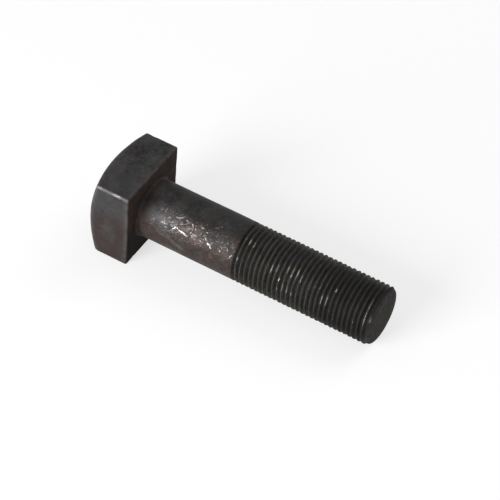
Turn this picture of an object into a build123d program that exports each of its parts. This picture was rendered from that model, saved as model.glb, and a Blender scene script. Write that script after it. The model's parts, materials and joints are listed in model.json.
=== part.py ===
from build123d import *
import os
from math import asin, atan2, cos, hypot, sin, sqrt

# Square-head bolt with a domed head, a plain shank and a fine thread, forged and turned as one piece.
# Sizes are in millimetres. It lies at rest on the plane Z = 0, with its head towards -X and its
# threaded end towards +X, and the origin is under the middle of its box.

# Driving dimensions of the head.
head_across_flats = 27.7
head_corner_height = 11.0
head_dome_radius = 48.0
head_edge_radius = 0.4

# Driving dimensions of the shank, measured from the bearing face under the head.
under_head_length = 79.8
under_head_fillet = 0.9
plain_shank_diameter = 18.7
plain_shank_length = 33.0

# Driving dimensions of the thread, three quarters of an inch with 16 turns to the inch.
thread_diameter = 18.8
thread_swell_length = 0.8
end_chamfer = 1.3
end_edge_radius = 0.4

# Radii and lengths that follow from the driving dimensions.
head_half_width = head_across_flats / 2
head_half_diagonal = head_half_width * sqrt(2)
plain_shank_radius = plain_shank_diameter / 2
thread_radius = thread_diameter / 2
end_face_radius = thread_radius - end_chamfer
thread_start = plain_shank_length + thread_swell_length
thread_end = under_head_length - end_chamfer

# The dome passes through the outer corners of the head, so its centre follows from its radius.
dome_centre = sqrt(head_dome_radius**2 - head_half_diagonal**2) - head_corner_height
dome_top = dome_centre - head_dome_radius

# At rest the bolt touches the floor at two places: the rounded edge between one flat and the
# bearing face, and the last full crest of the thread. Its axis dips towards the thread.
rest_run = thread_end + head_edge_radius
rest_drop = head_half_width - head_edge_radius - thread_radius
rest_tilt = atan2(rest_drop, rest_run) + asin(head_edge_radius / hypot(rest_run, rest_drop))
axis_direction = Vector(cos(rest_tilt), 0, -sin(rest_tilt))
side_direction = Vector(0, 1, 0)

# Height of the axis over the floor at the bearing face, and the place that centres the box on X.
bearing_height = (
    head_edge_radius * (1 - sin(rest_tilt)) + (head_half_width - head_edge_radius) * cos(rest_tilt)
)
reach_behind = head_dome_radius - dome_centre * cos(rest_tilt)
reach_ahead = under_head_length * cos(rest_tilt) + end_face_radius * sin(rest_tilt)
bearing_centre = Vector((reach_behind - reach_ahead) / 2, 0, bearing_height)

# The bearing plane looks along the bolt, and the turning plane holds the bolt's axis as its own X.
bearing_plane = Plane(origin=bearing_centre, x_dir=side_direction, z_dir=axis_direction)
turning_plane = Plane(origin=bearing_centre, x_dir=axis_direction, z_dir=side_direction)
bolt_axis = Axis(bearing_centre, axis_direction)

with BuildPart() as spreader_bolt:
    # Square forging of the head, reaching back from the bearing face past the top of the dome.
    with BuildSketch(bearing_plane):
        Rectangle(head_across_flats, head_across_flats)
    extrude(amount=dome_top)

    # Spherical outer end: what lies outside the turned dome is taken off.
    with BuildSketch(turning_plane):
        with BuildLine():
            CenterArc((dome_centre, 0), head_dome_radius, 180, -90)
            Polyline((dome_centre, head_dome_radius), (dome_centre, 0), (dome_top, 0))
        make_face()
    revolve(axis=bolt_axis, mode=Mode.INTERSECT)

    # Every edge of the head is slightly rounded.
    fillet(spreader_bolt.edges(), radius=head_edge_radius)

    # Plain shank, a short swell up to the rolled thread, the thread's full diameter and the chamfered end.
    with BuildSketch(turning_plane):
        with BuildLine():
            Polyline(
                (0, 0),
                (0, plain_shank_radius),
                (plain_shank_length, plain_shank_radius),
                (thread_start, thread_radius),
                (thread_end, thread_radius),
                (under_head_length, end_face_radius),
                (under_head_length, 0),
                close=True,
            )
        make_face()
    revolve(axis=bolt_axis)

    # A fillet joins the shank to the head, and the rim of the end face is rounded.
    bearing_face, end_face = spreader_bolt.faces().filter_by(bolt_axis).sort_by(bolt_axis)
    under_head_edge = bearing_face.edges().filter_by(GeomType.CIRCLE).sort_by(SortBy.RADIUS)[-1]
    fillet(under_head_edge, radius=under_head_fillet)
    fillet(end_face.edges(), radius=end_edge_radius)

spreader_bolt.part.label = "spreader_bolt"

os.makedirs("parts", exist_ok=True)
export_step(spreader_bolt.part, "parts/spreader_bolt.step")
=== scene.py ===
import json
import math

import bpy
from mathutils import Matrix, Vector, noise


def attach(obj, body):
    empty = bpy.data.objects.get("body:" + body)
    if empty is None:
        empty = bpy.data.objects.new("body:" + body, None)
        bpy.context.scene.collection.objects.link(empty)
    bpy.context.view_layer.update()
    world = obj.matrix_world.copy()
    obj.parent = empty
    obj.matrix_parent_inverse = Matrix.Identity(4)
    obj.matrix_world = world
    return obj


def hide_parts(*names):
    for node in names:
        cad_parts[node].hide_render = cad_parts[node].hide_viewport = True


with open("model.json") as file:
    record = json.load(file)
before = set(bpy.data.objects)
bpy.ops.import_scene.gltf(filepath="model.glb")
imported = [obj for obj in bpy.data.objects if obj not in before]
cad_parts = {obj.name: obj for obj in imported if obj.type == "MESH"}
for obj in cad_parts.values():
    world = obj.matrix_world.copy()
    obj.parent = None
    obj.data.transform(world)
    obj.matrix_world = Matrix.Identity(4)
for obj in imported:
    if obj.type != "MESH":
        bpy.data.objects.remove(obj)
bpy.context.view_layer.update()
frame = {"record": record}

# Where the bolt lies.
# It rests on one edge of its head and on the end of its thread, so its axis dips a little towards the
# thread. Its own sizes below are in millimetres, measured along the axis from the bearing face.
MM = 0.001
mounts = {mount["name"]: mount for mount in frame["record"]["mounts"]}
along = Vector(mounts["plain_shank"]["axis"]).normalized()
across = Vector((0, 1, 0))
upright = along.cross(across)
shank_middle = Vector(mounts["plain_shank"]["pos_m"])
bearing_point = Vector(mounts["bearing_face"]["pos_m"])
bearing_centre = shank_middle + along * (bearing_point - shank_middle).dot(along)
bolt_space = Matrix((
    (along.x, across.x, upright.x, bearing_centre.x),
    (along.y, across.y, upright.y, bearing_centre.y),
    (along.z, across.z, upright.z, bearing_centre.z),
    (0, 0, 0, 1),
)) @ Matrix.Scale(MM, 4)


# The head.
# A square steel forging, upset hot on the end of the bar. Its outer end is a shallow dome, its four
# sides and the bearing face are flat, and every edge has been knocked slightly round.
HEAD_HALF_WIDTH = 13.85
HEAD_CORNER_HEIGHT = 11.0
HEAD_DOME_RADIUS = 48.0
DOME_EDGE_ROUND = 0.45
BEARING_EDGE_ROUND = 0.4
HEAD_CORNER_ROUND = 0.5
UNDER_HEAD_FILLET = 0.9
SHANK_RADIUS = mounts["plain_shank"]["dims"]["r_mm"]

# The mesh runs in columns along the bolt, which crowd a little towards the corners of the head.
COLUMNS = 160
COLUMNS_PER_SIDE = COLUMNS // 4
CORNER_COLUMNS = 3
EVEN_SPACING = 0.6
EDGE_SPREAD = 0.45
END_SPREAD = 1.1
END_WEAR = 0.7
DOME_RINGS = 22
EDGE_RINGS = 4
SIDE_RINGS = 22
BEARING_RINGS = 14
dome_centre = math.sqrt(HEAD_DOME_RADIUS**2 - 2 * HEAD_HALF_WIDTH**2) - HEAD_CORNER_HEIGHT

points = []
worn_edge = []
groove = []
faces = []


def add_point(place, worn=0.0, depth=0.0):
    points.append(Vector(place))
    worn_edge.append(worn)
    groove.append(depth)
    return len(points) - 1


def join_rings(ring, following):
    for column in range(COLUMNS):
        beside = (column + 1) % COLUMNS
        faces.append((ring[column], ring[beside], following[beside], following[column]))


def column_angle(column):
    """Angle round the axis from +Y upwards. Column 0 is at a lower corner of the head."""
    return 2 * math.pi * column / COLUMNS - math.pi / 4


def square_outline(column, inset=0.0):
    """Point of the head's outline on one column, drawn in by inset, with the corners rounded."""
    side, step = divmod(column % COLUMNS, COLUMNS_PER_SIDE)
    from_corner = min(step, COLUMNS_PER_SIDE - step)
    flat_end = HEAD_HALF_WIDTH - HEAD_CORNER_ROUND
    if from_corner < CORNER_COLUMNS:
        turn = math.pi / 4 * (1 - from_corner / CORNER_COLUMNS)
        reach = max(HEAD_CORNER_ROUND - inset, 0.0)
        out = flat_end + reach * math.cos(turn)
        aside = flat_end + reach * math.sin(turn)
    else:
        share = 1 - (from_corner - CORNER_COLUMNS) / (COLUMNS_PER_SIDE / 2 - CORNER_COLUMNS)
        out = HEAD_HALF_WIDTH - inset
        crowded = math.sin(share * math.pi / 2)
        aside = flat_end * (EVEN_SPACING * share + (1 - EVEN_SPACING) * crowded)
    if step <= COLUMNS_PER_SIDE / 2:
        aside = -aside
    turn = side * math.pi / 2
    return out * math.cos(turn) - aside * math.sin(turn), out * math.sin(turn) + aside * math.cos(turn)


def dome_height(y, z):
    return dome_centre - math.sqrt(HEAD_DOME_RADIUS**2 - y * y - z * z)


def corner_wear(column):
    """1 on a long edge of the head, falling to 0 beside it."""
    y, z = square_outline(column)
    from_edge = HEAD_HALF_WIDTH - min(abs(y), abs(z))
    return math.exp(-((from_edge / EDGE_SPREAD) ** 2))


def side_wear(x, column):
    """1 at the ends of a side of the head, falling to 0 within a millimetre or two."""
    y, z = square_outline(column)
    from_end = min(x - dome_height(y, z), -x)
    return math.exp(-((from_end / END_SPREAD) ** 2))


def dome_point(column, share):
    y, z = square_outline(column, DOME_EDGE_ROUND)
    return dome_height(share * y, share * z), share * y, share * z


def dome_edge_point(column, share):
    inner, outer = square_outline(column, DOME_EDGE_ROUND), square_outline(column)
    start = Vector((dome_height(*inner), *inner))
    corner = Vector((dome_height(*outer), *outer))
    end = corner + Vector((DOME_EDGE_ROUND, 0, 0))
    return start * (1 - share) ** 2 + corner * 2 * share * (1 - share) + end * share**2


def side_point(column, share):
    y, z = square_outline(column)
    near, far = dome_height(y, z) + DOME_EDGE_ROUND, -BEARING_EDGE_ROUND
    return near + (far - near) * share, y, z


def bearing_edge_point(column, share):
    turn = math.pi / 2 * share
    y, z = square_outline(column, BEARING_EDGE_ROUND * (1 - math.cos(turn)))
    return -BEARING_EDGE_ROUND * (1 - math.sin(turn)), y, z


def bearing_face_point(column, share):
    y, z = square_outline(column, BEARING_EDGE_ROUND)
    turn = column_angle(column)
    reach = SHANK_RADIUS + UNDER_HEAD_FILLET
    return 0, y + (reach * math.cos(turn) - y) * share, z + (reach * math.sin(turn) - z) * share


rings = []
for surface, count, edge in (
    (dome_point, DOME_RINGS, 0.0),
    (dome_edge_point, EDGE_RINGS, 1.0),
    (side_point, SIDE_RINGS, 0.0),
    (bearing_edge_point, EDGE_RINGS, 1.0),
    (bearing_face_point, BEARING_RINGS, 0.0),
):
    for step in range(1, count + 1):
        ring = []
        for column in range(COLUMNS):
            place = surface(column, step / count)
            worn = edge
            if surface is side_point:
                worn = max(corner_wear(column), END_WEAR * side_wear(place[0], column))
            ring.append(add_point(place, worn))
        rings.append(ring)

dome_middle = add_point((dome_centre - HEAD_DOME_RADIUS, 0, 0))
for column in range(COLUMNS):
    faces.append((dome_middle, rings[0][(column + 1) % COLUMNS], rings[0][column]))


# The shank.
# Plain bar below the head, joined to it by a small fillet. It swells by a hair where the thread
# was rolled on.
PLAIN_LENGTH = 33.0
FILLET_RINGS = 6
SHANK_RINGS = 56


def round_ring(x, radius):
    return [
        add_point((x, radius * math.cos(column_angle(column)), radius * math.sin(column_angle(column))))
        for column in range(COLUMNS)
    ]


for step in range(1, FILLET_RINGS + 1):
    turn = math.pi / 2 * step / FILLET_RINGS
    rings.append(round_ring(
        UNDER_HEAD_FILLET * (1 - math.cos(turn)),
        SHANK_RADIUS + UNDER_HEAD_FILLET * (1 - math.sin(turn)),
    ))
for step in range(1, SHANK_RINGS + 1):
    x = UNDER_HEAD_FILLET + (PLAIN_LENGTH - UNDER_HEAD_FILLET) * step / SHANK_RINGS
    rings.append(round_ring(x, SHANK_RADIUS))
for ring, following in zip(rings, rings[1:]):
    join_rings(ring, following)


# The thread.
# A fine right-hand thread of sixteen turns to the inch. Its first turn runs out shallow into the
# shank, and its last ones die away on the chamfer of the end.
INCH = 25.4
TURNS_PER_INCH = 16
THREAD_RADIUS = mounts["thread"]["dims"]["r_mm"]
THREAD_PITCH = INCH / TURNS_PER_INCH
THREAD_DEPTH = 0.63 * THREAD_PITCH
FLANK_ANGLE = math.radians(30)
BOLT_LENGTH = 79.8
END_CHAMFER = 1.3
END_ROUND = 0.8
END_INSET = 1.12
SWELL_LENGTH = 0.8
RUN_OUT_TURNS = 0.4
FIRST_GROOVE = 34.6
PITCHES_BEFORE = 2
RING_MARGIN = 0.03
END_FACE_STEPS = 5

# Places across one turn of the thread, from one root at 0 over the crest at a half to the next root at 1.
CREST_FROM = 0.45
UNDER_CREST = 0.40
ON_FLANK = 0.28
ROOT_TO = CREST_FROM - THREAD_DEPTH / THREAD_PITCH * math.tan(FLANK_ANGLE)
RISE = (0, ROOT_TO / 2, ROOT_TO, ON_FLANK, UNDER_CREST, CREST_FROM)
PROFILE = (*RISE, 0.5, *(1 - place for place in reversed(RISE[1:])))


def blank_radius(x):
    """Radius of the bar before the thread: plain shank, swell, full diameter and chamfer."""
    swell = min(max((x - PLAIN_LENGTH) / SWELL_LENGTH, 0), 1)
    full = SHANK_RADIUS + (THREAD_RADIUS - SHANK_RADIUS) * swell
    return min(full, THREAD_RADIUS - (x - (BOLT_LENGTH - END_CHAMFER)))


def groove_share(place):
    """How deep the thread is at a place within one pitch: 1 at the root, 0 on the crest."""
    slope = (min(place, 1 - place) - ROOT_TO) / (CREST_FROM - ROOT_TO)
    return 1 - min(max(slope, 0), 1)


def thread_place(row, column):
    pitches, step = divmod(row, len(PROFILE))
    return FIRST_GROOVE + THREAD_PITCH * (pitches + PROFILE[step] + column / COLUMNS), PROFILE[step]


thread_from = rings[-1]
thread_to_x = BOLT_LENGTH - END_ROUND
thread_to = round_ring(thread_to_x, blank_radius(thread_to_x))
turns = math.ceil((BOLT_LENGTH - PLAIN_LENGTH) / THREAD_PITCH)
rows = range(-PITCHES_BEFORE * len(PROFILE), (turns + 1) * len(PROFILE))
lattice = {}
for column in range(COLUMNS):
    angle = column_angle(column)
    for row in rows:
        x, place = thread_place(row, column)
        if not PLAIN_LENGTH + RING_MARGIN < x < thread_to_x - RING_MARGIN:
            continue
        run_in = min((x - PLAIN_LENGTH) / THREAD_PITCH / RUN_OUT_TURNS, 1)
        radius = min(blank_radius(x), THREAD_RADIUS - THREAD_DEPTH * groove_share(place) * run_in)
        lattice[row, column] = add_point(
            (x, radius * math.cos(angle), radius * math.sin(angle)),
            worn=(1 - groove_share(place)) ** 3,
            depth=(blank_radius(x) - radius) / THREAD_DEPTH,
        )


def thread_column(column):
    """Points of one column by row. The column after the last is the first again, one pitch on."""
    lap, column = divmod(column, COLUMNS)
    shift = lap * len(PROFILE)
    return {row: lattice[row + shift, column] for row in rows if (row + shift, column) in lattice}


for column in range(COLUMNS):
    near, far = thread_column(column), thread_column(column + 1)
    shared = sorted(set(near) & set(far))
    for row in shared[:-1]:
        faces.append((near[row], far[row], far[row + 1], near[row + 1]))
    first, last = shared[0], shared[-1]
    faces.append((
        thread_from[(column + 1) % COLUMNS], *(far[row] for row in sorted(far) if row <= first),
        *(near[row] for row in sorted(near, reverse=True) if row <= first), thread_from[column],
    ))
    faces.append((
        *(far[row] for row in sorted(far) if row >= last), thread_to[(column + 1) % COLUMNS],
        thread_to[column], *(near[row] for row in sorted(near, reverse=True) if row >= last),
    ))

end_ring = thread_to
rim_radius = blank_radius(thread_to_x)
end_face_radius = rim_radius - END_INSET
for step in range(1, EDGE_RINGS + 1):
    turn = math.pi / 2 * step / EDGE_RINGS
    following = round_ring(
        thread_to_x + END_ROUND * math.sin(turn), rim_radius - END_INSET * (1 - math.cos(turn)))
    join_rings(end_ring, following)
    end_ring = following
for step in range(1, END_FACE_STEPS):
    following = round_ring(BOLT_LENGTH, end_face_radius * (1 - step / END_FACE_STEPS))
    join_rings(end_ring, following)
    end_ring = following
end_middle = add_point((BOLT_LENGTH, 0, 0))
for column in range(COLUMNS):
    faces.append((end_ring[column], end_ring[(column + 1) % COLUMNS], end_middle))


# The unevenness of the forging.
# Hammer, die and scale leave the surface of the head and bar slightly wavy. Use has knocked small dents
# into the edges of the head and the crests of the thread.
FORGED_WAVE = 0.05
THREAD_WAVE = 0.02
LONG_WAVE = 4.5
LONG_SHARE = 0.7
SHORT_WAVE = 1.5
SHORT_SHARE = 0.3
DENT_DEPTH = 0.30
DENT_LENGTH = 1.5
DENT_ABOVE = 0.22
NOISE_PLACE = Vector((3.7, 1.3, 8.1))


def wave(point, length):
    """Smooth noise between -1 and 1 that changes over the given length."""
    return noise.noise(point / length + NOISE_PLACE)


shape = bpy.data.meshes.new("bolt_shape")
shape.from_pydata(points, [], faces)
normals = [vertex.normal.copy() for vertex in shape.vertices]
bpy.data.meshes.remove(shape)
for index, point in enumerate(points):
    amplitude = FORGED_WAVE if point.x < PLAIN_LENGTH else THREAD_WAVE
    sink = amplitude * (LONG_SHARE * wave(point, LONG_WAVE) + SHORT_SHARE * wave(point, SHORT_WAVE))
    dent = max(wave(point, DENT_LENGTH) - DENT_ABOVE, 0) * DENT_DEPTH * worn_edge[index]
    points[index] = point - normals[index] * (sink + dent)

mesh = bpy.data.meshes.new("bolt")
mesh.from_pydata([bolt_space @ point for point in points], [], faces)
for name, values in (("worn_edge", worn_edge), ("groove", groove)):
    mesh.attributes.new(name, "FLOAT", "POINT").data.foreach_set("value", values)
bolt_places = [coordinate for point in points for coordinate in point]
mesh.attributes.new("bolt_place", "FLOAT_VECTOR", "POINT").data.foreach_set("vector", bolt_places)
mesh.polygons.foreach_set("use_smooth", [True] * len(mesh.polygons))
bolt = bpy.data.objects.new("bolt", mesh)
bpy.context.scene.collection.objects.link(bolt)
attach(bolt, "root")
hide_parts("spreader_bolt")


# The finish of the steel.
# Dark forging scale, stained brown where the damp settled, with old oil dried into the thread. Edges and
# crests are rubbed to bare steel, and one side of the shank is burnished and nicked. Some of the colour is
# painted light and shade, said so where it is laid on.
SCALE_DARK = (0.017, 0.016, 0.016, 1)
SCALE_GREY = (0.054, 0.051, 0.051, 1)
SCALE_BLUE = (0.030, 0.031, 0.035, 1)
SCALE_OLIVE = (0.037, 0.036, 0.031, 1)
STAIN_BROWN = (0.033, 0.021, 0.020, 1)
RUST_BROWN = (0.044, 0.029, 0.024, 1)
FILLET_SHADE_BROWN = (0.014, 0.010, 0.008, 1)
WASH_BROWN = (0.050, 0.036, 0.031, 1)
OIL_AND_SHADE_BLACK = (0.009, 0.008, 0.007, 1)
OLIVE_OIL_AND_PAINTED_LIGHT = (0.040, 0.038, 0.032, 1)
OIL_BLUE = (0.026, 0.025, 0.032, 1)
RUBBED_AND_SHEEN_GREY = (0.067, 0.060, 0.061, 1)
RUBBED_AND_SHEEN_BROWN = (0.068, 0.050, 0.046, 1)
EDGE_GREY = (0.14, 0.13, 0.13, 1)
SMEAR_GREY = (0.076, 0.070, 0.058, 1)
CREST_GREY = (0.054, 0.052, 0.045, 1)
END_OLIVE = (0.038, 0.036, 0.028, 1)
END_MAUVE = (0.050, 0.043, 0.046, 1)
BARE_STEEL = (0.60, 0.58, 0.56, 1)
SCUFFED_SIDE = math.radians(130.5)
SCUFFED_MIDDLE = 1.7
SCUFFED_HALF_WIDTH = 5.2


class ShaderNodes:
    """Adds nodes to one shader tree. Each call gives back an output of the last node it made."""

    def __init__(self, tree):
        self.tree = tree

    def add(self, kind, inputs=(), output=0, **settings):
        node = self.tree.nodes.new(kind)
        for name, value in settings.items():
            setattr(node, name, value)
        for name, value in dict(inputs).items():
            if isinstance(value, bpy.types.NodeSocket):
                self.tree.links.new(value, node.inputs[name])
            else:
                node.inputs[name].default_value = value
        return node.outputs[output]

    def split(self, vector):
        outputs = self.add("ShaderNodeSeparateXYZ", {0: vector}).node.outputs
        return outputs[0], outputs[1], outputs[2]

    def join(self, x, y):
        return self.add("ShaderNodeCombineXYZ", {0: x, 1: y})

    def turn(self, vector, angle, axis):
        return self.add("ShaderNodeVectorRotate", {"Vector": vector, "Angle": angle}, rotation_type=axis)

    def work_out_vector(self, operation, *vectors):
        return self.add("ShaderNodeVectorMath", dict(enumerate(vectors)), operation=operation)

    def length(self, vector):
        return self.add("ShaderNodeVectorMath", {0: vector}, output="Value", operation="LENGTH")

    def work_out(self, operation, *values):
        return self.add("ShaderNodeMath", dict(enumerate(values)), operation=operation)

    def join_up(self, operation, values):
        """One operation over all the values, from left to right."""
        result = values[0]
        for value in values[1:]:
            result = self.work_out(operation, result, value)
        return result

    def plus(self, *values):
        return self.join_up("ADD", values)

    def times(self, *values):
        return self.join_up("MULTIPLY", values)

    def strongest(self, *values):
        return self.join_up("MAXIMUM", values)

    def minus(self, value, taken):
        return self.work_out("SUBTRACT", value, taken)

    def swing(self, cloudy, amount):
        """Noise that swings about 0 instead of a half, times the amount."""
        return self.times(self.minus(cloudy, 0.5), amount)

    def fade(self, value, low, high):
        """0 below low, 1 above high and smooth between. With low above high it falls instead."""
        settings = {"Value": value, "From Min": low, "From Max": high}
        return self.add("ShaderNodeMapRange", settings, interpolation_type="SMOOTHSTEP")

    def near(self, value, middle, half_width):
        """1 about the middle, falling smoothly from 0.3 of half_width to 0 at half_width from it."""
        distance = self.work_out("ABSOLUTE", self.minus(value, middle))
        return self.fade(distance, half_width, 0.3 * half_width)

    def mix_colour(self, share, under, over):
        inputs = {0: share, 6: under, 7: over}
        return self.add("ShaderNodeMix", inputs, output=2, data_type="RGBA")

    def mix_value(self, share, under, over):
        return self.add("ShaderNodeMix", {0: share, 2: under, 3: over}, data_type="FLOAT")

    def blotches(self, place, size, detail=3.0, roughness=0.55):
        """Cloudy noise, about 0.5 on average, with blotches of the given size."""
        inputs = {"Vector": place, "Scale": 1 / size, "Detail": detail, "Roughness": roughness}
        return self.add("ShaderNodeTexNoise", inputs)


steel = bpy.data.materials.new("dark_steel")
steel.use_nodes = True
shader = steel.node_tree.nodes["Principled BSDF"]
finish = ShaderNodes(steel.node_tree)

bolt_place = finish.add("ShaderNodeAttribute", output="Vector", attribute_name="bolt_place")
edge = finish.add("ShaderNodeAttribute", output="Fac", attribute_name="worn_edge")
depth = finish.add("ShaderNodeAttribute", output="Fac", attribute_name="groove")
from_bearing, sideways, height = finish.split(bolt_place)

# The skin of the bar laid flat: the distance along it, and the distance round it from the scuffed side.
outward, aside = finish.split(finish.turn(bolt_place, -SCUFFED_SIDE, "X_AXIS"))[1:]
round_place = finish.times(finish.work_out("ARCTAN2", aside, outward), SHANK_RADIUS)
skin_place = finish.join(from_bearing, round_place)

# Where each part of the bolt lies.
chamfer_start = BOLT_LENGTH - END_CHAMFER
past_head = finish.fade(from_bearing, 0.4, 1.4)
on_head = finish.minus(1.0, past_head)
on_thread = finish.fade(from_bearing, PLAIN_LENGTH + 0.2, PLAIN_LENGTH + 0.7)
on_shank = finish.minus(past_head, on_thread)
on_bearing = finish.near(from_bearing, 0.0, 0.4)
on_end = finish.times(
    finish.fade(from_bearing, chamfer_start, chamfer_start + 0.4), finish.fade(depth, 0.5, 0.1))
on_crests = finish.times(on_thread, finish.fade(from_bearing, chamfer_start + 0.3, chamfer_start - 0.1))

# Scale: patches some millimetres wide with a finer mottle in them, bluish in places and olive in others.
MOTTLE_SHARE = 0.45
TINT_SHARE = 0.6
clouds = finish.blotches(bolt_place, 6.0)
mottle = finish.blotches(bolt_place, 1.1, detail=4.0, roughness=0.65)
grain = finish.blotches(bolt_place, 0.35, detail=2.0)
patchy = finish.mix_value(MOTTLE_SHARE, clouds, mottle)
colour = finish.mix_colour(finish.fade(patchy, 0.36, 0.64), SCALE_DARK, SCALE_GREY)
tint = finish.blotches(bolt_place, 8.0, detail=2.0)
colour = finish.mix_colour(finish.times(finish.fade(tint, 0.52, 0.62), TINT_SHARE), colour, SCALE_BLUE)
colour = finish.mix_colour(finish.times(finish.fade(tint, 0.48, 0.38), TINT_SHARE), colour, SCALE_OLIVE)

# Painted light: the head's colour is made lighter towards its front, scuffed side, the side the front light
# falls on.
PAINTED_LIGHT_FRONT_SHARE = 0.4
painted_light_front = finish.times(finish.fade(sideways, 8.0, -13.0), finish.fade(from_bearing, 0.4, -0.4))
colour = finish.mix_colour(finish.times(painted_light_front, PAINTED_LIGHT_FRONT_SHARE), colour, SCALE_GREY)

# Brown stain, heavier low down, and rust round the fillet and on the bearing face, over painted shade on
# the bearing face and in the corner under the head.
STAIN_FROM_HEIGHT = 9.0
STAIN_FULL_HEIGHT = -8.0
STAIN_DRIFT = 26.0
SPOT_SHARE = 0.35
BEARING_PAINTED_SHADE_SHARE = 0.9
FILLET_RUST_SHARE = 0.7
FILLET_PAINTED_SHADE_SHARE = 0.7
drift = finish.swing(finish.blotches(bolt_place, 6.0, detail=5.0), STAIN_DRIFT)
stain = finish.fade(finish.plus(height, drift), STAIN_FROM_HEIGHT, STAIN_FULL_HEIGHT)
spots = finish.fade(finish.blotches(bolt_place, 2.6), 0.62, 0.70)
stain = finish.strongest(stain, finish.times(spots, SPOT_SHARE))
stain = finish.times(stain, finish.mix_value(finish.fade(patchy, 0.40, 0.62), 0.95, 0.60))
colour = finish.mix_colour(stain, colour, STAIN_BROWN)
by_fillet = finish.times(finish.fade(from_bearing, 5.0, 1.0), past_head, FILLET_RUST_SHARE)
rust_patches = finish.fade(finish.blotches(bolt_place, 3.5, detail=5.0), 0.10, 0.75)
rust = finish.times(finish.strongest(on_bearing, by_fillet), rust_patches)
# Painted shade: the bearing face under the head is darkened almost to black, and the rust over it thins out
# low down, so its lower part stays darkest.
colour = finish.mix_colour(finish.times(on_bearing, BEARING_PAINTED_SHADE_SHARE), colour, OIL_AND_SHADE_BLACK)
colour = finish.mix_colour(finish.times(rust, finish.fade(height, -9.0, 2.0)), colour, RUST_BROWN)
# Painted shade: the corner under the head, on its front side, is darkened to a near-black brown.
fillet_painted_shade = finish.times(
    finish.fade(from_bearing, 5.0, 1.5), past_head, finish.fade(sideways, 0.0, -5.0), FILLET_PAINTED_SHADE_SHARE)
colour = finish.mix_colour(fillet_painted_shade, colour, FILLET_SHADE_BROWN)

# The bar's colour is darker along its top as painted shade, where the low front light barely reaches, and
# browner down its scuffed side.
PAINTED_SHADE_TOP_SHARE = 0.3
painted_shade_top = finish.times(
    on_shank, finish.fade(from_bearing, 12.0, 18.0), finish.fade(height, 3.0, 7.0), PAINTED_SHADE_TOP_SHARE)
colour = finish.mix_colour(painted_shade_top, colour, SCALE_DARK)
wash_patches = finish.fade(finish.blotches(bolt_place, 3.5, detail=5.0, roughness=0.6), 0.40, 0.56)
brown_wash = finish.times(
    on_shank, finish.fade(round_place, 1.5, 5.0), finish.fade(round_place, 22.0, 15.0),
    finish.mix_value(wash_patches, 0.15, 0.9))
wash_colour = finish.mix_colour(finish.fade(mottle, 0.38, 0.60), STAIN_BROWN, WASH_BROWN)
colour = finish.mix_colour(brown_wash, colour, wash_colour)

# Burnished band along the shank, weaker towards the thread. It lies where the front light's sheen falls on
# the bar, so its lighter grey is partly painted sheen over real burnish.
FAR_BAND_SHARE = 0.5
band = finish.times(
    finish.near(round_place, SCUFFED_MIDDLE, SCUFFED_HALF_WIDTH),
    on_shank,
    finish.fade(from_bearing, 3.0, 6.5),
    finish.mix_value(finish.fade(from_bearing, 18.0, 26.0), 1.0, FAR_BAND_SHARE),
)
rubbed_and_sheen = finish.times(band, finish.fade(finish.blotches(skin_place, 2.4, detail=4.0), 0.30, 0.62))

# Nicks and scratches in the band. Each one is a short rounded stroke, and its place is stirred by fine
# noise so that its outline comes out ragged.
RAGGEDNESS = 1.1
nick = bpy.data.node_groups.new("worn_nick", "ShaderNodeTree")
for name, kind in (
    ("Place", "NodeSocketVector"),
    ("Middle", "NodeSocketVector"),
    ("Slant", "NodeSocketFloat"),
    ("Half Size", "NodeSocketVector"),
):
    nick.interface.new_socket(name, in_out="INPUT", socket_type=kind)
nick.interface.new_socket("Mask", in_out="OUTPUT", socket_type="NodeSocketFloat")
stroke = ShaderNodes(nick)
nick_inputs = nick.nodes.new("NodeGroupInput").outputs
offset = stroke.work_out_vector("SUBTRACT", nick_inputs["Place"], nick_inputs["Middle"])
straight = stroke.turn(offset, stroke.times(nick_inputs["Slant"], -1.0), "Z_AXIS")
reach = stroke.length(stroke.work_out_vector("DIVIDE", straight, nick_inputs["Half Size"]))
nick.links.new(stroke.fade(reach, 1.0, 0.5), nick.nodes.new("NodeGroupOutput").inputs["Mask"])

stir = finish.add("ShaderNodeTexNoise", {"Vector": skin_place, "Scale": 2.6, "Detail": 4.0}, output="Color")
wobble = finish.work_out_vector("SUBTRACT", stir, (0.5, 0.5, 0.5))
ragged_place = finish.work_out_vector("MULTIPLY_ADD", wobble, (RAGGEDNESS, RAGGEDNESS, 0.0), skin_place)
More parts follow.
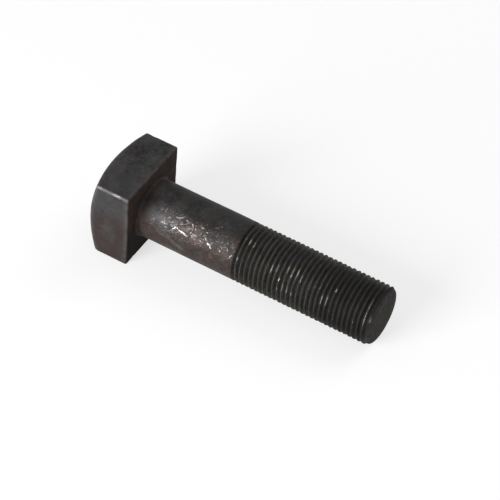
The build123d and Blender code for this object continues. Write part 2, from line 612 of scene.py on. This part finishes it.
# Each mark in a list has its distance from the bearing face, its distance round from the scuffed side,
# its length and width, all in millimetres, its slant in degrees, and how strong it is.
NICKS = (
    (15.5, 3.1, 3.0, 0.6, 2, 0.9),
    (16.8, 3.5, 1.8, 0.5, 8, 0.6),
    (13.8, 2.6, 1.2, 0.4, 20, 0.8),
    (12.7, 3.0, 2.2, 0.5, -55, 0.9),
    (11.6, 1.6, 1.6, 0.35, -40, 0.4),
    (10.4, 0.6, 1.8, 0.3, 35, 0.4),
    (9.6, 3.0, 1.6, 0.4, 15, 0.5),
    (8.9, 1.9, 1.2, 0.3, 40, 0.3),
    (8.3, -0.9, 1.6, 0.3, -90, 0.4),
    (13.4, -0.7, 2.4, 0.4, -25, 0.6),
    (15.8, -0.6, 1.7, 0.4, 0, 0.8),
    (14.6, 0.6, 1.4, 0.3, 50, 0.5),
    (18.0, 0.0, 1.8, 0.35, 45, 0.8),
    (19.2, 0.6, 1.1, 0.3, 50, 0.7),
    (16.9, 1.2, 1.5, 0.3, -50, 0.4),
    (21.0, -0.8, 1.4, 0.4, 0, 0.7),
    (23.0, -0.1, 1.2, 0.4, 10, 0.6),
    (19.6, 2.3, 2.6, 0.4, 5, 0.3),
    (18.9, 3.0, 2.2, 0.35, -60, 0.35),
    (21.9, 3.0, 1.4, 0.3, 25, 0.5),
    (23.2, 1.7, 1.8, 0.4, 43, 0.5),
    (20.7, 4.4, 1.4, 0.3, 50, 0.3),
    (24.5, 2.9, 1.4, 0.6, 20, 0.9),
    (25.4, 3.4, 1.6, 0.5, 50, 1.0),
    (28.6, 3.2, 1.2, 0.35, 55, 0.6),
    (26.8, 1.0, 1.2, 0.3, -30, 0.3),
    (30.9, 2.0, 1.1, 0.4, 60, 0.7),
    (30.1, 0.0, 1.4, 0.3, 42, 0.3),
    (32.4, 3.4, 1.9, 0.4, -70, 0.8),
    (25.1, -2.6, 2.0, 0.35, -16, 0.3),
    (25.9, -3.5, 1.6, 0.3, -20, 0.25),
)
# Dried smears below the nicks.
SMEARS = (
    (10.0, 6.2, 7.0, 2.8, 4, 0.9),
    (14.2, 8.0, 9.5, 1.8, 22, 1.0),
    (15.8, 3.9, 5.0, 1.6, -6, 0.8),
    (19.5, 4.3, 5.0, 1.6, 5, 0.5),
    (26.2, 6.2, 2.6, 1.8, 60, 0.7),
    (13.0, 12.0, 9.0, 3.4, 12, 0.5),
)


def marks(strokes):
    """Mask of all strokes in a list, each at its own strength."""
    mask = 0.0
    for along_bar, round_bar, length, width, slant, strength in strokes:
        inputs = {
            "Place": ragged_place,
            "Middle": (along_bar, round_bar, 0),
            "Slant": math.radians(slant),
            "Half Size": (length / 2, width / 2, 1),
        }
        mark = finish.add("ShaderNodeGroup", inputs, node_tree=nick)
        mask = finish.strongest(mask, finish.times(mark, strength))
    return mask


nicked = marks(NICKS)
smear_cover = finish.fade(finish.blotches(skin_place, 1.6, detail=5.0, roughness=0.7), 0.34, 0.56)
smeared = finish.times(marks(SMEARS), smear_cover, past_head)
colour = finish.mix_colour(smeared, colour, SMEAR_GREY)

# Finer specks and slanting streaks between the nicks.
NICK_SHINE = 0.65
SPECK_SHINE = 0.4
STREAK_SHINE = 0.2
STREAK_SLANT = math.radians(35)
STREAK_STRETCH = (0.35, 1.6, 1.0)
specks = finish.fade(finish.blotches(skin_place, 0.6, detail=2.0), 0.60, 0.66)
speck_zone = finish.fade(finish.blotches(skin_place, 3.5), 0.42, 0.58)
specks = finish.times(specks, speck_zone, band, finish.fade(from_bearing, 6.0, 9.0), SPECK_SHINE)
slanted = finish.turn(skin_place, STREAK_SLANT, "Z_AXIS")
streak_place = finish.work_out_vector("MULTIPLY", slanted, STREAK_STRETCH)
streaks = finish.fade(finish.blotches(streak_place, 0.8, detail=1.0), 0.60, 0.70)
streaks = finish.times(streaks, band, STREAK_SHINE)
bright = finish.strongest(finish.times(nicked, NICK_SHINE), specks, streaks)

# Rubbed edges of the head, most of all the long one over the scuffed side.
SIDE_WEAR_SHARE = 0.3
FRONT_WEAR_SHARE = 0.48
LONG_EDGE_SHARE = 0.6
EDGE_RAGGEDNESS = 1.5
EDGE_SHINE = 0.4
LEAST_POLISH = 0.12
front_face = -HEAD_HALF_WIDTH
top_face = HEAD_HALF_WIDTH
broken = finish.fade(finish.blotches(bolt_place, 1.8, detail=4.0), 0.38, 0.60)
ragged_height = finish.plus(height, finish.swing(mottle, EDGE_RAGGEDNESS))
front_edge = finish.times(
    finish.fade(sideways, front_face + 0.7, front_face + 0.3),
    finish.fade(ragged_height, top_face - 1.3, top_face - 0.6))
front_side = finish.fade(sideways, front_face + 0.9, front_face + 0.3)
head_wear = finish.times(finish.mix_value(front_side, SIDE_WEAR_SHARE, FRONT_WEAR_SHARE), on_head)
worn = finish.times(edge, finish.mix_value(broken, 0.4, 1.0), head_wear)
worn = finish.strongest(worn, finish.times(front_edge, LONG_EDGE_SHARE))
# Two stretches of that long edge are polished bright.
polished_places = finish.strongest(
    finish.near(from_bearing, -4.1, 2.2),
    finish.times(finish.near(from_bearing, -10.2, 1.4), 0.6),
    LEAST_POLISH,
)
polished = finish.times(
    front_edge, finish.mix_value(broken, 0.4, 1.0), polished_places,
    finish.fade(height, top_face - 0.9, top_face - 0.4), EDGE_SHINE)
bright = finish.strongest(bright, polished)

# Thread: oil in the grooves, dull olive flanks, grey crests with a few glints. The olive flanks are kept
# light as painted light, for the light they barely get, and darken to black oil towards the roots.
OIL_AND_LIGHT_STIR = 1.8
BLUE_OIL_SHARE = 0.5
RUBBED_FLANK_SHARE = 0.8
THREAD_OIL_SHARE = 0.9
crest = finish.times(finish.fade(depth, 0.70, 0.25), on_crests)
oil_and_light_depth = finish.plus(depth, finish.swing(mottle, OIL_AND_LIGHT_STIR))
thread_colour = finish.mix_colour(finish.fade(oil_and_light_depth, 0.35, 1.0), OLIVE_OIL_AND_PAINTED_LIGHT, OIL_AND_SHADE_BLACK)
blue_oil = finish.fade(finish.blotches(bolt_place, 6.0), 0.50, 0.60)
blue_oil = finish.times(blue_oil, finish.fade(height, 0.0, 6.0), BLUE_OIL_SHARE)
thread_colour = finish.mix_colour(blue_oil, thread_colour, OIL_BLUE)
rubbed_flanks = finish.fade(finish.blotches(bolt_place, 5.0, detail=5.0, roughness=0.65), 0.52, 0.66)
rubbed_flanks = finish.times(
    rubbed_flanks, finish.fade(depth, 0.9, 0.2), finish.fade(from_bearing, 70.0, 58.0),
    RUBBED_FLANK_SHARE)
thread_colour = finish.mix_colour(rubbed_flanks, thread_colour, RUBBED_AND_SHEEN_GREY)
# Painted shade: the far part of the thread is darkened, most of all low down, where less light reaches it.
low_painted_shade = finish.times(
    finish.fade(from_bearing, 54.0, 66.0), finish.mix_value(finish.fade(height, 4.0, -2.0), 0.45, 0.95))
thread_colour = finish.mix_colour(low_painted_shade, thread_colour, OIL_AND_SHADE_BLACK)
colour = finish.mix_colour(finish.times(on_thread, THREAD_OIL_SHARE), colour, thread_colour)
# Crests knocked bright.
GLINTS = (
    (36.0, -3.1, 2.0, 1.4, 80, 0.9),
    (37.5, -2.9, 2.0, 1.2, 80, 0.6),
    (34.4, 3.2, 2.0, 1.4, 90, 0.7),
    (39.9, 1.5, 1.4, 0.9, 90, 0.3),
    (45.2, 1.2, 3.6, 2.0, 85, 1.0),
    (47.4, 0.4, 2.6, 2.0, 85, 0.5),
    (50.0, -1.0, 2.0, 1.6, 90, 1.0),
    (52.4, -0.5, 4.2, 5.0, 90, 0.65),
    (55.6, 0.2, 3.0, 2.4, 90, 0.35),
    (48.8, 3.1, 1.3, 1.1, 90, 0.7),
    (51.6, 5.2, 3.6, 3.8, 90, 0.25),
    (64.0, 2.9, 4.2, 4.6, 90, 0.35),
    (66.3, -1.1, 1.3, 1.0, 90, 0.6),
)
sparse = finish.fade(finish.blotches(bolt_place, 1.2, detail=3.0), 0.62, 0.72)
sparse = finish.times(sparse, finish.mix_value(finish.near(round_place, 1.5, 9.0), 0.1, 0.35))
glints = finish.strongest(sparse, marks(GLINTS))
glints = finish.times(glints, on_crests, finish.fade(depth, 0.36, 0.08), finish.mix_value(broken, 0.3, 1.0))
bright = finish.strongest(bright, glints)

# The crests are rubbed unevenly, less towards the end. Their grey is partly a painted highlight kept to a
# band on the upper part of the thread: it is dimmed low down, along the very top and under the painted
# shade low on the thread.
TURN_STRETCH = (1.0, 0.35, 0.35)
turn_place = finish.work_out_vector("MULTIPLY", bolt_place, TURN_STRETCH)
turn_wear = finish.blotches(turn_place, 1.3, detail=3.0)
crest_wear_and_highlight = finish.blotches(bolt_place, 3.0, detail=5.0, roughness=0.8)
crest_wear_and_highlight = finish.fade(finish.mix_value(0.55, crest_wear_and_highlight, turn_wear), 0.42, 0.59)
crest_wear_and_highlight = finish.times(
    crest_wear_and_highlight,
    finish.mix_value(finish.fade(from_bearing, 56.0, 68.0), 1.0, 0.3),
    finish.mix_value(finish.fade(height, 6.5, 3.0), 1.0, 0.65),
    finish.mix_value(finish.fade(height, 8.4, 9.4), 1.0, 0.35),
    finish.mix_value(low_painted_shade, 1.0, 0.15),
)
colour = finish.mix_colour(finish.times(crest, crest_wear_and_highlight), colour, CREST_GREY)
# The last crest is bright on the scuffed side, and so is a short dash on the chamfer.
END_DASH_SHARE = 0.5
last_crest = finish.near(from_bearing, chamfer_start - 0.8, 0.8)
last_crest = finish.times(last_crest, finish.fade(depth, 0.12, 0.02), finish.near(round_place, 0.8, 5.5))
end_dash = finish.near(from_bearing, BOLT_LENGTH - 0.7, 0.3)
end_dash = finish.times(end_dash, finish.near(round_place, 2.2, 1.7), END_DASH_SHARE)
last_crest = finish.strongest(last_crest, end_dash)
last_crest = finish.times(last_crest, finish.fade(mottle, 0.30, 0.62), finish.mix_value(broken, 0.1, 0.6))
bright = finish.strongest(bright, last_crest)

# End face: dried oil over lathe-turned steel, in olive, mauve and dark patches. Towards the rim the lighter
# mauve is a painted highlight on the rounded edge.
MAUVE_PER_MM_ASIDE = 0.015
RIM_HIGHLIGHT_MAUVE = 0.12
CHAMFER_DIRT_SHARE = 0.8
from_axis = finish.length(finish.join(sideways, height))
end_clouds = finish.plus(
    finish.blotches(bolt_place, 4.0, detail=5.0, roughness=0.65),
    finish.times(sideways, MAUVE_PER_MM_ASIDE),
    finish.times(finish.fade(from_axis, 5.5, 8.0), RIM_HIGHLIGHT_MAUVE),
)
end_colour = finish.mix_colour(finish.fade(end_clouds, 0.46, 0.58), END_OLIVE, END_MAUVE)
end_dirt = finish.fade(finish.blotches(bolt_place, 1.6, detail=5.0, roughness=0.7), 0.42, 0.64)
end_dirt = finish.times(end_dirt, finish.mix_value(finish.fade(sideways, 0.0, 6.0), 0.6, 0.8))
chamfer_dirt = finish.fade(from_bearing, BOLT_LENGTH - 0.1, BOLT_LENGTH - 0.7)
chamfer_dirt = finish.times(chamfer_dirt, finish.fade(height, -4.0, 2.0), CHAMFER_DIRT_SHARE)
end_colour = finish.mix_colour(finish.strongest(end_dirt, chamfer_dirt), end_colour, OIL_AND_SHADE_BLACK)
colour = finish.mix_colour(on_end, colour, end_colour)

# Rubbed and bare steel lie over all the rest. The rubbed grey on the shank is partly painted sheen.
brown_share = finish.plus(from_bearing, finish.times(drift, 0.4))
rubbed_and_sheen_colour = finish.mix_colour(finish.fade(brown_share, 8.0, 18.0), RUBBED_AND_SHEEN_GREY, RUBBED_AND_SHEEN_BROWN)
colour = finish.mix_colour(rubbed_and_sheen, colour, rubbed_and_sheen_colour)
colour = finish.mix_colour(worn, colour, EDGE_GREY)
colour = finish.mix_colour(bright, colour, BARE_STEEL)

# Bare steel shines, rubbed scale shines a little, and oil and rust are dull.
SPECULAR_LEVEL = 0.12
SCALE_METALLIC = 0.12
RUBBED_METALLIC = 0.40
OILED_METALLIC_SHARE = 0.3
SMOOTHEST_SCALE = 0.50
ROUGHEST_SCALE = 0.68
RUBBED_ROUGHNESS = 0.47
BARE_ROUGHNESS = 0.32
OILED_ROUGHNESS = 0.85
rubbed_and_sheen = finish.strongest(rubbed_and_sheen, worn)
oiled = finish.strongest(on_bearing, on_end)
metallic = finish.mix_value(rubbed_and_sheen, SCALE_METALLIC, RUBBED_METALLIC)
metallic = finish.mix_value(bright, metallic, 1.0)
metallic = finish.times(metallic, finish.mix_value(oiled, 1.0, OILED_METALLIC_SHARE))
roughness = finish.mix_value(mottle, SMOOTHEST_SCALE, ROUGHEST_SCALE)
roughness = finish.mix_value(rubbed_and_sheen, roughness, RUBBED_ROUGHNESS)
roughness = finish.mix_value(bright, roughness, BARE_ROUGHNESS)
roughness = finish.mix_value(oiled, roughness, OILED_ROUGHNESS)

# Relief in millimetres: mottled scale, coarser on the end face, battered crests and sunken nicks.
GRAIN_SHARE = 0.4
SCALE_RELIEF = 0.09
THREAD_RELIEF = 0.03
END_COARSENESS = 6.0
BATTERED_RELIEF = 0.5
NICK_RELIEF = 0.03
relief = finish.times(
    finish.mix_value(GRAIN_SHARE, mottle, grain),
    finish.mix_value(on_thread, SCALE_RELIEF, THREAD_RELIEF),
    finish.mix_value(on_end, 1.0, END_COARSENESS),
)
battered = finish.swing(finish.blotches(turn_place, 1.0, detail=3.0), BATTERED_RELIEF)
relief = finish.plus(relief, finish.times(battered, crest))
relief = finish.minus(relief, finish.times(bright, NICK_RELIEF))
normal = finish.add("ShaderNodeBump", {"Height": relief, "Distance": MM, "Strength": 1.0})

steel.node_tree.links.new(colour, shader.inputs["Base Color"])
steel.node_tree.links.new(metallic, shader.inputs["Metallic"])
steel.node_tree.links.new(roughness, shader.inputs["Roughness"])
steel.node_tree.links.new(normal, shader.inputs["Normal"])
shader.inputs["Specular IOR Level"].default_value = SPECULAR_LEVEL
mesh.materials.append(steel)


# The floor and the light.
# A white table that curves up at its far edges, under plain soft studio light. The main light stands
# low in front and to the left.
FLOOR_RADIUS = 3.0
FLOOR_RIM = 0.6
FLOOR_SIDES = 64
FLOOR_GREY = 0.8
SHADOW_SHARE = 0.35
WORLD_LIGHT = 0.4
# How far out and how high each step of the rim stands, as shares of the floor's radius and rim.
RIM_CURVE = ((1.0, 0.0), (1.02, 0.1), (1.03, 1.0))

rim_points = []
for spread, rise in RIM_CURVE:
    for step in range(FLOOR_SIDES):
        angle = 2 * math.pi * step / FLOOR_SIDES
        reach = spread * FLOOR_RADIUS
        rim_points.append((reach * math.cos(angle), reach * math.sin(angle), rise * FLOOR_RIM))
floor_faces = [tuple(range(FLOOR_SIDES))]
for lap in range(1, len(RIM_CURVE)):
    low, high = (lap - 1) * FLOOR_SIDES, lap * FLOOR_SIDES
    for step in range(FLOOR_SIDES):
        beside = (step + 1) % FLOOR_SIDES
        floor_faces.append((low + step, low + beside, high + beside, high + step))
floor_mesh = bpy.data.meshes.new("floor")
floor_mesh.from_pydata(rim_points, [], floor_faces)
floor = bpy.data.objects.new("floor", floor_mesh)
bpy.context.scene.collection.objects.link(floor)

# Seen by the camera, the floor glows white but for the share that its shadow can darken.
white = bpy.data.materials.new("white_floor")
white.use_nodes = True
floor_shader = white.node_tree.nodes["Principled BSDF"]
floor_nodes = ShaderNodes(white.node_tree)
rays = floor_nodes.add("ShaderNodeLightPath").node.outputs
seen = floor_nodes.strongest(
    rays["Is Camera Ray"], rays["Is Glossy Ray"], rays["Is Transmission Ray"])
pale = (FLOOR_GREY, FLOOR_GREY, FLOOR_GREY, 1)
shaded = (SHADOW_SHARE, SHADOW_SHARE, SHADOW_SHARE, 1)
glow = floor_nodes.times(seen, 1 - SHADOW_SHARE)
white.node_tree.links.new(floor_nodes.mix_colour(seen, pale, shaded), floor_shader.inputs["Base Color"])
white.node_tree.links.new(glow, floor_shader.inputs["Emission Strength"])
floor_shader.inputs["Emission Color"].default_value = (1, 1, 1, 1)
floor_shader.inputs["Roughness"].default_value = 1.0
floor_shader.inputs["Specular IOR Level"].default_value = 0.0
floor_mesh.materials.append(white)

world = bpy.data.worlds.new("studio")
bpy.context.scene.world = world
world.use_nodes = True
backdrop = world.node_tree.nodes["Background"]
backdrop.inputs["Color"].default_value = (1, 1, 1, 1)
backdrop.inputs["Strength"].default_value = WORLD_LIGHT


def soft_light(name, direction, distance, width, power):
    """A square soft light that looks at the bolt from the given direction. Metres and watts."""
    lamp = bpy.data.lights.new(name, "AREA")
    lamp.size = width
    lamp.energy = power
    lamp_object = bpy.data.objects.new(name, lamp)
    lamp_object.location = Vector(direction).normalized() * distance
    lamp_object.rotation_euler = Vector(direction).to_track_quat("Z", "Y").to_euler()
    bpy.context.scene.collection.objects.link(lamp_object)


soft_light("front_light", direction=(-0.33, -0.94, 0.42), distance=0.9, width=0.5, power=10.0)
soft_light("back_light", direction=(0.35, 0.70, 0.65), distance=1.1, width=0.8, power=4.0)


# The camera.
# It looks down on the bolt at 45 degrees, from the side of its threaded end, through a long lens.
PICTURE_SIDE = 500
VIEW_AZIMUTH = 30.09
VIEW_ELEVATION = 45.16
VIEW_ROLL = 1.13
VIEW_DISTANCE = 0.7348
SENSOR_WIDTH = 36.0
LENS = 175.35
BEARING_CENTRE_PIXEL = (151.82, 206.1)

azimuth, elevation, roll = (math.radians(angle) for angle in (VIEW_AZIMUTH, VIEW_ELEVATION, VIEW_ROLL))
back = Vector((
    math.sin(azimuth) * math.cos(elevation),
    -math.cos(azimuth) * math.cos(elevation),
    math.sin(elevation),
))
level_right = Vector((math.cos(azimuth), math.sin(azimuth), 0))
level_up = back.cross(level_right)
right = level_right * math.cos(roll) + level_up * math.sin(roll)
up = level_up * math.cos(roll) - level_right * math.sin(roll)
pixel = SENSOR_WIDTH / PICTURE_SIDE / LENS * VIEW_DISTANCE
from_left, from_top = BEARING_CENTRE_PIXEL
camera_place = (
    bearing_centre + back * VIEW_DISTANCE
    - right * (from_left - PICTURE_SIDE / 2) * pixel
    + up * (from_top - PICTURE_SIDE / 2) * pixel
)
camera_data = bpy.data.cameras.new("camera")
camera_data.lens = LENS
camera_data.sensor_width = SENSOR_WIDTH
camera = bpy.data.objects.new("camera", camera_data)
camera.matrix_world = Matrix((
    (right.x, up.x, back.x, camera_place.x),
    (right.y, up.y, back.y, camera_place.y),
    (right.z, up.z, back.z, camera_place.z),
    (0, 0, 0, 1),
))
bpy.context.scene.collection.objects.link(camera)
bpy.context.scene.camera = camera
bpy.context.scene.view_settings.view_transform = "Standard"
